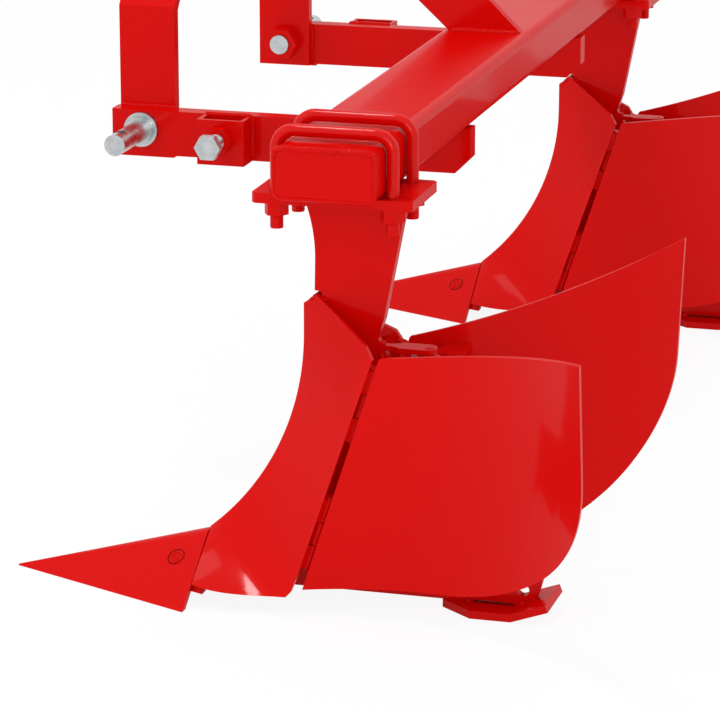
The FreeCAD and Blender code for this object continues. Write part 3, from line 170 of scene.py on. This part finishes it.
# %% The paint
def paint(name, color, deep, rough, grain=0.0, coat=0.14):
    finish = Finish(name)
    cloud = finish.noise(CLOUD, 1)
    speck = finish.noise(SPECK, 3, 0.7).step(0.70, 0.78)
    tint = finish.mix(cloud, deep, color)
    rolled = finish.noise(1.0, 2, where=finish.stretch(*ROLLED_BANDS))
    skin = finish.noise(DIMPLE, 2) * DIMPLE_SHARE
    if grain:
        skin = skin + finish.noise(WELD_GRAIN, 3, 0.7) * grain
    return finish.show(
        Base_Color=finish.mix(speck * 0.10, tint, deep),
        Roughness=rolled * 0.10 + (rough - 0.05),
        Specular_IOR_Level=0.02,
        Coat_Weight=coat,
        Coat_Roughness=0.08,
        Normal=finish.bump(skin, SKIN_DEPTH),
    )


# %% The four paints
RED = (0.62, 0.0013, 0.0005)
DEEP_RED = (0.585, 0.0010, 0.0004)
# Painted shade: the two dark seam reds stand for the shadow inside open seams and gaps.
SEAM_SHADOW_RED = (0.20, 0.0012, 0.0006)
DEEP_SEAM_SHADOW_RED = (0.12, 0.0008, 0.0004)
red_paint = paint("red_paint", RED, DEEP_RED, 0.34)
weld_paint = paint("weld_paint", RED, DEEP_RED, 0.28, grain=1.2)
rod_paint = paint("rod_paint", RED, DEEP_RED, 0.30, coat=0.35)
# The seam paint is painted shade, laid as thin dark lines where a seam or gap is in shadow.
seam_shadow_paint = paint("seam_shadow_paint", SEAM_SHADOW_RED, DEEP_SEAM_SHADOW_RED, 0.45)
for finish in (red_paint, weld_paint, rod_paint, seam_shadow_paint):
    print(finish.name, "has", len(finish.node_tree.nodes), "nodes")

# %% [markdown]
# ## Zinc-plated steel
# The linkage pins and the socket bolts are plated, not painted. Plating is a dull grey metal whose shine
# changes in small patches where it was handled. A real zinc layer also has tiny crystals, too small to
# model, so a very fine noise gives them as a shallow bump.

# %% Sizes in the plating
HANDLED_PATCH = 9 * MM
CRYSTAL = 0.9 * MM
CRYSTAL_DEPTH = 0.07 * MM
LIGHT_ZINC = (0.60, 0.63, 0.64)
DARK_ZINC = (0.47, 0.49, 0.50)


# %% The plating
def plating(name):
    finish = Finish(name)
    patch = finish.noise(HANDLED_PATCH, 4).step(0.30, 0.75)
    crystals = finish.noise(CRYSTAL, 2)
    return finish.show(
        Base_Color=finish.mix(patch, DARK_ZINC, LIGHT_ZINC),
        Metallic=1.0,
        Roughness=patch * 0.18 + 0.24,
        Normal=finish.bump(crystals + patch * 0.5, CRYSTAL_DEPTH),
    )


zinc = plating("zinc_plate")
print(zinc.name, "has", len(zinc.node_tree.nodes), "nodes")

# %% [markdown]
# ## Which piece has which finish
# The measured pieces come with no finish. Names tell what each one is, so the start of a name is enough
# to choose by, and a new piece of a known kind gets its finish with no change here.

# %% Give each measured piece its finish
PLATED = ("lower_link_pin", "socket_bolt")
RODS = "u_bolts"


def finish_of(name):
    """The finish that a measured piece has on the real plough."""
    if name.startswith(PLATED):
        return zinc
    return rod_paint if name.startswith(RODS) else red_paint


for name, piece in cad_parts.items():
    piece.data.materials.clear()
    piece.data.materials.append(finish_of(name))
print("plated pieces:", [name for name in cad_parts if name.startswith(PLATED)])

# %% [markdown]
# ## Meshes made by a function of length and angle
# A weld bead, a screw thread and a ring round a bolt are all tubes. On beads and threads the radius
# changes along the tube and round it, and a modifier can't give a thread that starts and fades where it
# should. So one helper builds a tube from a path and a rule for its radius, and closes both of its ends.


# %% Tubes with a changing radius
def tube(mesh, points, radius, around=14):
    """Adds a closed tube along points; radius(share, angle) gives its radius in metres."""
    rings = []
    last = len(points) - 1
    for row, spot in enumerate(points):
        ahead = (points[min(row + 1, last)] - points[max(row - 1, 0)]).normalized()
        side = ahead.orthogonal().normalized() if not rings else (side - ahead * side.dot(ahead)).normalized()
        lift = ahead.cross(side)
        ring = []
        for step in range(around):
            angle = math.tau * step / around
            reach = radius(row / last, angle)
            ring.append(mesh.verts.new(spot + (side * math.cos(angle) + lift * math.sin(angle)) * reach))
        rings.append(ring)
    for low, high in zip(rings, rings[1:]):
        for step in range(around):
            after = (step + 1) % around
            mesh.faces.new((low[step], low[after], high[after], high[step]))
    mesh.faces.new(tuple(reversed(rings[0])))
    mesh.faces.new(tuple(rings[-1]))


# %% Pieces that ride on a body, and the corners of the measured ones
def add_piece(name, mesh, finish, body):
    """Turns a bmesh into a smooth piece that rides on a body."""
    bmesh.ops.recalc_face_normals(mesh, faces=mesh.faces)
    for face in mesh.faces:
        face.smooth = True
    data = bpy.data.meshes.new(name)
    mesh.to_mesh(data)
    mesh.free()
    data.materials.append(finish)
    piece = bpy.data.objects.new(name, data)
    bpy.context.collection.objects.link(piece)
    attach(piece, body)
    print(name, "rides on", body, "with", len(data.polygons), "faces")


def corners_of(node):
    """The low and high corners of a measured piece, in millimetres."""
    low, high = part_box(node)
    return Vector(low) / MM, Vector(high) / MM


# %% [markdown]
# ## Weld beads
# The plough is welded by hand. A bead lies in the corner between two plates, swells and narrows as the
# torch moves, and carries one ripple for each small step. Here each bead is a tube laid in its corner:
# half of it is buried in the plates, and its radius follows the ripples. The frame's beads are one mesh
# and each row's are another, because a row slides along the frame and its beads go with it.

# %% Sizes in a bead
RIPPLE = 2.6 * MM
BEAD_STEP = 0.5 * MM
LEAST_STEPS = 6
SWAY_PER_METRE = 130
SWAY_SHARE = 0.10
SWELL_ALONG = 70
SWELL_ACROSS = 40


# %% A bead between two points
def bead(mesh, start, end, size):
    """Adds a rippled bead from start to end; size is its radius in millimetres."""
    start, end = Vector(start) * MM, Vector(end) * MM
    length = (end - start).length
    steps = max(LEAST_STEPS, round(length / BEAD_STEP))
    points = []
    for step in range(steps + 1):
        spot = start.lerp(end, step / steps)
        sway = noise.noise_vector(spot * SWAY_PER_METRE)
        points.append(spot + sway * size * SWAY_SHARE * MM)
    across = (start.x * SWELL_ACROSS, start.y * SWELL_ACROSS + start.z * SWELL_ACROSS)

    def radius(share, angle):
        run = share * length
        ripple = 1 - abs(math.sin(math.pi * (run / RIPPLE + 0.16 * math.cos(angle))))
        swell = noise.noise(Vector((run * SWELL_ALONG, *across)))
        ends = min(1, (min(run, length - run) / (size * MM)) * 0.7 + 0.45)
        return size * MM * ends * (0.96 - 0.14 * ripple + 0.13 * swell)

    tube(mesh, points, radius, around=12)


# %% [markdown]
# ## Where the frame is welded
# The hitch arms are welded under the toolbar, the sockets and uprights to the arms' sides, and the brace
# to the toolbar's top. The ends of the beads are worked out from the corners of the pieces that they
# join, and stop a few millimetres short of them, as a welder stops before an edge.

# %% Beads on the frame
ARM_BEAD = 4.5
SOCKET_SIDE_BEAD, SOCKET_TOP_BEAD = 3.6, 2.6
UPRIGHT_SIDE_BEAD, UPRIGHT_TOP_BEAD = 3.2, 3.4
BRACE_BEAD = 4.5
BAR_ROUND = 6
LOWER_STOP, UPPER_STOP = 6, 1
BRACE_FOOT = (2, 78)


def beads_on_arm(mesh, x_ends, face, low_z, high_z, side_bead, top_bead):
    """Beads up both edges and along the top, where a piece stands against an arm's side."""
    for x in x_ends:
        bead(mesh, (x, face, low_z + LOWER_STOP), (x, face, high_z - UPPER_STOP), side_bead)
    bead(mesh, (x_ends[0], face, high_z), (x_ends[1], face, high_z), top_bead)


bar_low, bar_high = corners_of("toolbar")
frame_welds = bmesh.new()
for word, side in SIDES:
    arm_low, arm_high = corners_of(f"hitch_arm_{word}")
    rear, front = bar_low.x + BAR_ROUND, bar_high.x - BAR_ROUND
    for y in (arm_low.y, arm_high.y):
        bead(frame_welds, (rear, y, bar_low.z), (front, y, bar_low.z), ARM_BEAD)
    heights = (arm_low.z, arm_high.z)
    low, high = corners_of(f"stand_socket_{word}")
    face = low.y if side > 0 else high.y
    beads_on_arm(frame_welds, (low.x, high.x), face, *heights, SOCKET_SIDE_BEAD, SOCKET_TOP_BEAD)
    low, high = corners_of(f"mast_upright_{word}")
    face = high.y if side > 0 else low.y
    beads_on_arm(frame_welds, (low.x, high.x), face, *heights, UPRIGHT_SIDE_BEAD, UPRIGHT_TOP_BEAD)
brace_low, brace_high = corners_of("mast_brace")
brace_rear, brace_front = (brace_low.x + share for share in BRACE_FOOT)
for y in (brace_low.y, brace_high.y):
    bead(frame_welds, (brace_rear, y, bar_high.z), (brace_front, y, bar_high.z), BRACE_BEAD)
add_piece("welds_frame", frame_welds, weld_paint, "frame")

# %% [markdown]
# ## Where a row is welded
# The shank is welded under its clamp plate, and the breast's peak and the strap's bracket are welded to
# the shank. The heel is held to its sole by two short lumps on each side. Between the lumps the joint
# stays open and its shadow shows as a dark line, so a thin bead in dark seam paint is laid there as a
# painted shadow line.

# %% Sizes of a row's beads
SHANK_TOP_REAR, SHANK_TOP_FRONT = -88, 9
SHANK_TOP_BEAD = 3.6
SHANK_REAR = -66
BRACKET_SIDE_BEAD, BRACKET_TOP_BEAD = 2.6, 3.0
SOLE_TOP = 8.6
REAR_LUMP_START, REAR_LUMP, REAR_LUMP_BEAD = 25, 11, 5.6
FRONT_LUMP_START, FRONT_LUMP, FRONT_LUMP_BEAD = 28, 6, 5.2
# Radius and gaps of the thin dark line that is painted shade in the heel's open seam.
HEEL_SEAM_SHADOW, SEAM_AFTER_REAR, SEAM_BEFORE_FRONT = 1.1, 3, 2
# Each peak bead is two ends and a radius; an end is x, distance from the row's middle, and height.
PEAK_BEADS = (
    ((5, 5.5, 295.5), (-2, 8, 300.5), 1.9),
    ((-2, 7.5, 300), (-14, 6.5, 297), 1.7),
)


# %% Beads on each row: shank, breast, bracket and heel
def heel_beads(welds, seam_shadows, word, face):
    """Two lumps of weld along one side of the heel, and a painted shadow line in the open seam between them.
    """
    sole_low, sole_high = corners_of(f"sole_{word}")
    rear, front = sole_low.x + REAR_LUMP_START, sole_high.x - FRONT_LUMP_START
    bead(welds, (rear, face, SOLE_TOP), (rear + REAR_LUMP, face, SOLE_TOP), REAR_LUMP_BEAD)
    bead(welds, (front, face, SOLE_TOP), (front + FRONT_LUMP, face, SOLE_TOP), FRONT_LUMP_BEAD)
    start, end = rear + REAR_LUMP + SEAM_AFTER_REAR, front - SEAM_BEFORE_FRONT
    # A thin bead in dark seam paint is a painted shadow line in the open seam.
    bead(seam_shadows, (start, face, SOLE_TOP), (end, face, SOLE_TOP), HEEL_SEAM_SHADOW)


for word, side in SIDES:
    shank_low, shank_high = corners_of(f"shank_{word}")
    plate_z = corners_of(f"clamp_plate_{word}")[0].z
    bracket_low, bracket_high = corners_of(f"strap_bracket_{word}")
    middle = (shank_low.y + shank_high.y) / 2
    row_welds, heel_seam_shadows = bmesh.new(), bmesh.new()
    for hand in (1, -1):
        face = shank_high.y if hand > 0 else shank_low.y
        near = middle + hand * 5.5
        bead(row_welds, (SHANK_TOP_REAR, face, plate_z), (SHANK_TOP_FRONT, face, plate_z), SHANK_TOP_BEAD)
        for (x1, y1, z1), (x2, y2, z2), size in PEAK_BEADS:
            bead(row_welds, (x1, middle + hand * y1, z1), (x2, middle + hand * y2, z2), size)
        foot, head = (SHANK_REAR + 3, near, bracket_low.z + 4), (SHANK_REAR - 1, near, bracket_high.z - 14)
        bead(row_welds, foot, head, BRACKET_SIDE_BEAD)
        heel_beads(row_welds, heel_seam_shadows, word, face)
    top = bracket_high.z - 5
    bead(row_welds, (SHANK_REAR, middle - 5, top), (SHANK_REAR, middle + 5, top), BRACKET_TOP_BEAD)
    add_piece(f"welds_row_{word}", row_welds, weld_paint, f"row_{word}")
    # The heel's dark seam lines are painted shade in the open joint.
    add_piece(f"heel_seam_shadows_{word}", heel_seam_shadows, seam_shadow_paint, f"row_{word}")

# %% [markdown]
# ## Screw threads
# A thread is a ridge that climbs round a rod. The radius rule of the same tube gives it: at each point the
# ridge's height depends on how far along and how far round the point is, so that one turn climbs one
# pitch. The painted tails of the U-bolts have a shallower thread, because paint fills it, and the plated
# socket bolts a deeper one.

# %% Sizes of the threads
U_BOLT_THREAD = {"rod": 12, "pitch": 1.75, "depth": 0.45}
SOCKET_THREAD = {"rod": 16, "pitch": 2.0, "depth": 0.55}
ROOT_CLEAR = 0.05
SECTIONS_PER_TURN = 8


# %% A threaded rod
def thread(mesh, start, end, rod, pitch, depth):
    """Adds a thread on a rod from start to end; all sizes are in millimetres."""
    start, end = Vector(start) * MM, Vector(end) * MM
    length = (end - start).length / MM
    steps = round(length / pitch * SECTIONS_PER_TURN)
    points = [start.lerp(end, step / steps) for step in range(steps + 1)]

    def radius(share, angle):
        turn = (share * length / pitch + angle / math.tau) % 1
        ridge = 1 - abs(2 * turn - 1)
        fade = min(1, (1 - share) * length / pitch, share * length / pitch + 0.2)
        return (rod / 2 + ROOT_CLEAR + depth * ridge * fade) * MM

    tube(mesh, points, radius, around=28)


# %% Threads on the U-bolts' tails and on the socket bolts
BOLT_HEAD = 10
BOSS = 16
for word, side in SIDES:
    tails = bmesh.new()
    rods_low, rods_high = corners_of(f"u_bolts_{word}")
    nut_foot = corners_of(f"clamp_nuts_{word}")[0].z
    half_rod = U_BOLT_THREAD["rod"] / 2
    for x in (rods_low.x + half_rod, rods_high.x - half_rod):
        for y in (rods_low.y + half_rod, rods_high.y - half_rod):
            thread(tails, (x, y, nut_foot + 0.5), (x, y, rods_low.z - 0.2), **U_BOLT_THREAD)
    add_piece(f"u_bolt_threads_{word}", tails, red_paint, f"row_{word}")
    shaft = bmesh.new()
    low, high = corners_of(f"socket_bolt_{word}")
    middle = (low + high) / 2
    head, foot = (high.y, low.y) if side > 0 else (low.y, high.y)
    inner, outer = foot + side * BOSS, head - side * BOLT_HEAD
    thread(shaft, (middle.x, inner, middle.z), (middle.x, outer, middle.z), **SOCKET_THREAD)
    add_piece(f"socket_thread_{word}", shaft, zinc, "frame")

# %% [markdown]
# ## Countersunk bolt heads on the share
# Two countersunk bolts hold the share. Their flat heads are flush with its faces and painted over, so
# each shows only as fine circles: a dark one, which is painted shade for the gap round the head, and
# two raised ones on the head itself. They are thin rings that lie on the head's own face, and that face
# is found in the measured mesh: it is the piece's outermost flat face.

# %% Sizes of the rings
LEAST_HEAD_AREA = 100 * MM * MM
RING_LIFT = 0.1 * MM
RING_STEPS = 48


# %% Rings round the heads
def outer_face(piece, hand):
    """Centre, normal and radius of the outermost flat face of the bolt on one hand of its row."""
    planes = {}
    for face in piece.data.polygons:
        if face.normal.z > 0.2 and face.normal.y * hand > 0:
            key = (round(face.normal.dot(face.center) / MM), *(round(value, 2) for value in face.normal))
            area, total = planes.get(key, (0, Vector()))
            planes[key] = (area + face.area, total + face.center * face.area)
    wide = {key: sums for key, sums in planes.items() if sums[0] > LEAST_HEAD_AREA}
    key, (area, total) = max(wide.items())
    return total / area, Vector(key[1:]).normalized(), math.sqrt(area / math.pi)


def ring(mesh, middle, normal, size, thick):
    """Adds a ring of radius size that lies on a flat face; thick is its own radius."""
    across = normal.orthogonal().normalized()
    along = normal.cross(across)
    loop = []
    for step in range(RING_STEPS + 1):
        angle = math.tau * step / RING_STEPS
        spoke = across * math.cos(angle) + along * math.sin(angle)
        loop.append(middle + spoke * size + normal * RING_LIFT)
    tube(mesh, loop, lambda share, angle: thick, around=8)


for word, side in SIDES:
    rims, groove_shadows = bmesh.new(), bmesh.new()
    for hand in (1, -1):
        middle, normal, reach = outer_face(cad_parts[f"share_bolts_{word}"], hand)
        print("share bolt head:", [round(v / MM, 1) for v in middle], "radius", round(reach / MM, 2))
        # The outer ring, in dark seam paint, is a painted shadow in the gap round the head.
        ring(groove_shadows, middle, normal, reach + 0.6 * MM, 0.50 * MM)
        ring(rims, middle, normal, reach * 0.62, 0.75 * MM)
        ring(rims, middle, normal, reach * 0.25, 0.7 * MM)
    add_piece(f"share_bolt_rims_{word}", rims, weld_paint, f"row_{word}")
    add_piece(f"share_bolt_groove_shadows_{word}", groove_shadows, seam_shadow_paint, f"row_{word}")

# %% [markdown]
# ## The ground weld round the toolbar's caps
# Each cap is welded into the toolbar's open end all the way round, and the bead is ground nearly flush. A
# low band stays in the seam. It is lumpy along the top, where the grinder didn't reach, and nearly smooth
# round the rest, so the radius rule uses one height of lump on the top share of the path.

# %% Sizes of the band
SEAM_OUT = 4.2
BAR_CORNER = 9
BAND_SINK = 1.6
BAND_STEP = 0.5
BAND = 1.9
CORNER_STEPS = 6
TOP_SHARE = 0.37
ROUGH_LUMP, GROUND_LUMP = 1.0, 0.12


# %% A band in the seam
def seam_path(seam):
    """Points round the toolbar's section at one place along it, in metres."""
    corners = []
    for cx, cz, quarter in ((1, 1, 0), (-1, 1, 1), (-1, -1, 2), (1, -1, 3)):
        for step in range(CORNER_STEPS + 1):
            angle = math.pi / 2 * (quarter + step / CORNER_STEPS)
            x = bar_high.x - BAR_CORNER if cx > 0 else bar_low.x + BAR_CORNER
            z = bar_high.z - BAR_CORNER if cz > 0 else bar_low.z + BAR_CORNER
            reach = BAR_CORNER - BAND_SINK
            corners.append(Vector((x + reach * math.cos(angle), seam, z + reach * math.sin(angle))))
    corners.append(corners[0].copy())
    path = []
    for low, high in zip(corners, corners[1:]):
        pieces = max(1, round((high - low).length / BAND_STEP))
        path += [low.lerp(high, step / pieces) * MM for step in range(pieces)]
    return path


for word, side in SIDES:
    cap_low, cap_high = corners_of(f"toolbar_cap_{word}")
    seam = (cap_low.y if side > 0 else cap_high.y) + side * SEAM_OUT

    def lumps(share, angle):
        spot = Vector((share * 120, math.cos(angle) * 1.5, math.sin(angle) * 1.5 + side * 3))
        height = ROUGH_LUMP if share < TOP_SHARE else GROUND_LUMP
        return (BAND + height * (1.4 * noise.noise(spot) + 0.7 * noise.noise(spot * 2.3) + 1.1)) * MM

    band = bmesh.new()
    tube(band, seam_path(seam), lumps, around=16)
    add_piece(f"cap_weld_{word}", band, weld_paint, "frame")

# %% [markdown]
# ## Floor, light and camera
# The plough stands on a white sweep under large soft lamps. A camera ray that meets the sweep sees nearly
# plain white, so that only the soft shadow is left, and reflections see white too. The light that reaches
# the paint is lower than that white, so that the red keeps its depth.

# %% Levels in the studio
STUDIO_LEVEL = 0.86
FLOOR_WHITE = 0.93
FLOOR_GLOW = 0.90
FLOOR_REACH = 30
FLOOR_DROP = 0.5 * MM
WHITE = (1, 1, 1, 1)


# %% A floor that is white to the eye and soft in its shadow
def seen_directly(finish):
    """1 where the viewer, a mirror or glass sees the surface, 0 where it only lights other things."""
    names = ("Is Camera Ray", "Is Glossy Ray", "Is Transmission Ray")
    viewer, mirror, glass = [finish.make("LightPath", out=name) for name in names]
    return viewer.larger(mirror).larger(glass)


def floor():
    mesh = bpy.data.meshes.new("floor")
    corners = [(x * FLOOR_REACH, y * FLOOR_REACH, 0) for x, y in ((-1, -1), (1, -1), (1, 1), (-1, 1))]
    mesh.from_pydata(corners, [], [(0, 1, 2, 3)])
    item = bpy.data.objects.new("floor", mesh)
    bpy.context.collection.objects.link(item)
    finish = Finish("floor_white")
    finish.show(Base_Color=(FLOOR_WHITE, FLOOR_WHITE, FLOOR_WHITE, 1), Roughness=0.95, Specular_IOR_Level=0.0)
    glow = finish.make("Emission", {}, {"Color": WHITE, "Strength": 1.0})
    matt = Flow(finish, finish.shader.outputs[0])
    blend = finish.make("MixShader", {}, {0: seen_directly(finish) * FLOOR_GLOW, 1: matt, 2: glow})
    finish.feed(finish.tree.nodes["Material Output"].inputs[0], blend)
    mesh.materials.append(finish.owner)
    return item


floor().location.z = -FLOOR_DROP
print("floor: white", FLOOR_WHITE, "under a light level of", STUDIO_LEVEL)

# %% [markdown]
# ## Soft lamps
# Gloss paint shows its lamps. The narrow overhead lamp draws the glints along the rods, the caps and the
# breasts' feet, the back one puts a soft patch on the breasts, and the key and the fill light the sheets
# evenly. Each lamp is a rectangle turned to its target, because its shape is what a glint shows.


# %% The lamps and the light all round
def lamp(name, place, target, size, watts):
    data = bpy.data.lights.new(name, "AREA")
    data.shape = "RECTANGLE"
    data.size, data.size_y = size
    data.energy = watts
    item = bpy.data.objects.new(name, data)
    item.location = place
    item.rotation_euler = (Vector(target) - Vector(place)).to_track_quat("-Z", "Y").to_euler()
    bpy.context.collection.objects.link(item)
    print(name, "lamp:", watts, "W from", place)


lamp("key", place=(2.7, 3.0, 2.6), target=(0, 0.3, 0.3), size=(0.8, 0.7), watts=8)
lamp("overhead", place=(0.95, 1.0, 4.1), target=(0.05, 0.5, 0.3), size=(0.30, 0.60), watts=40)
lamp("back", place=(1.5, -0.3, 3.7), target=(0.0, 0.3, 0.3), size=(0.9, 0.9), watts=9)
lamp("fill", place=(-1.6, 4.4, 1.5), target=(0, 0.0, 0.3), size=(1.6, 1.6), watts=29)
studio = bpy.data.worlds.new("studio")
bpy.context.scene.world = studio
air = Finish("studio", studio, "Background")
air.show(Color=WHITE, Strength=seen_directly(air) * (1 - STUDIO_LEVEL) + STUDIO_LEVEL)
bpy.context.scene.view_settings.view_transform = "Standard"

# %% [markdown]
# ## The camera
# A long lens from a few metres away keeps the toolbar's edges nearly parallel. The camera looks from the
# left and slightly behind, so that the near row's sheets, the clamp and the hitch all show.

# %% Place the camera
PLACE = (-0.9445, 3.735, 1.169)
TURN, DIP = math.radians(15.8), math.radians(15.7)
eye = bpy.data.cameras.new("camera")
eye.lens = 180.5
eye.sensor_width = 36
eye.clip_end = 100
camera = bpy.data.objects.new("camera", eye)
bpy.context.collection.objects.link(camera)
camera.location = PLACE
sight = Vector((math.sin(TURN) * math.cos(DIP), -math.cos(TURN) * math.cos(DIP), -math.sin(DIP)))
camera.rotation_euler = sight.to_track_quat("-Z", "Y").to_euler()
bpy.context.scene.camera = camera
print("camera at", PLACE, "with a lens of", eye.lens, "mm")
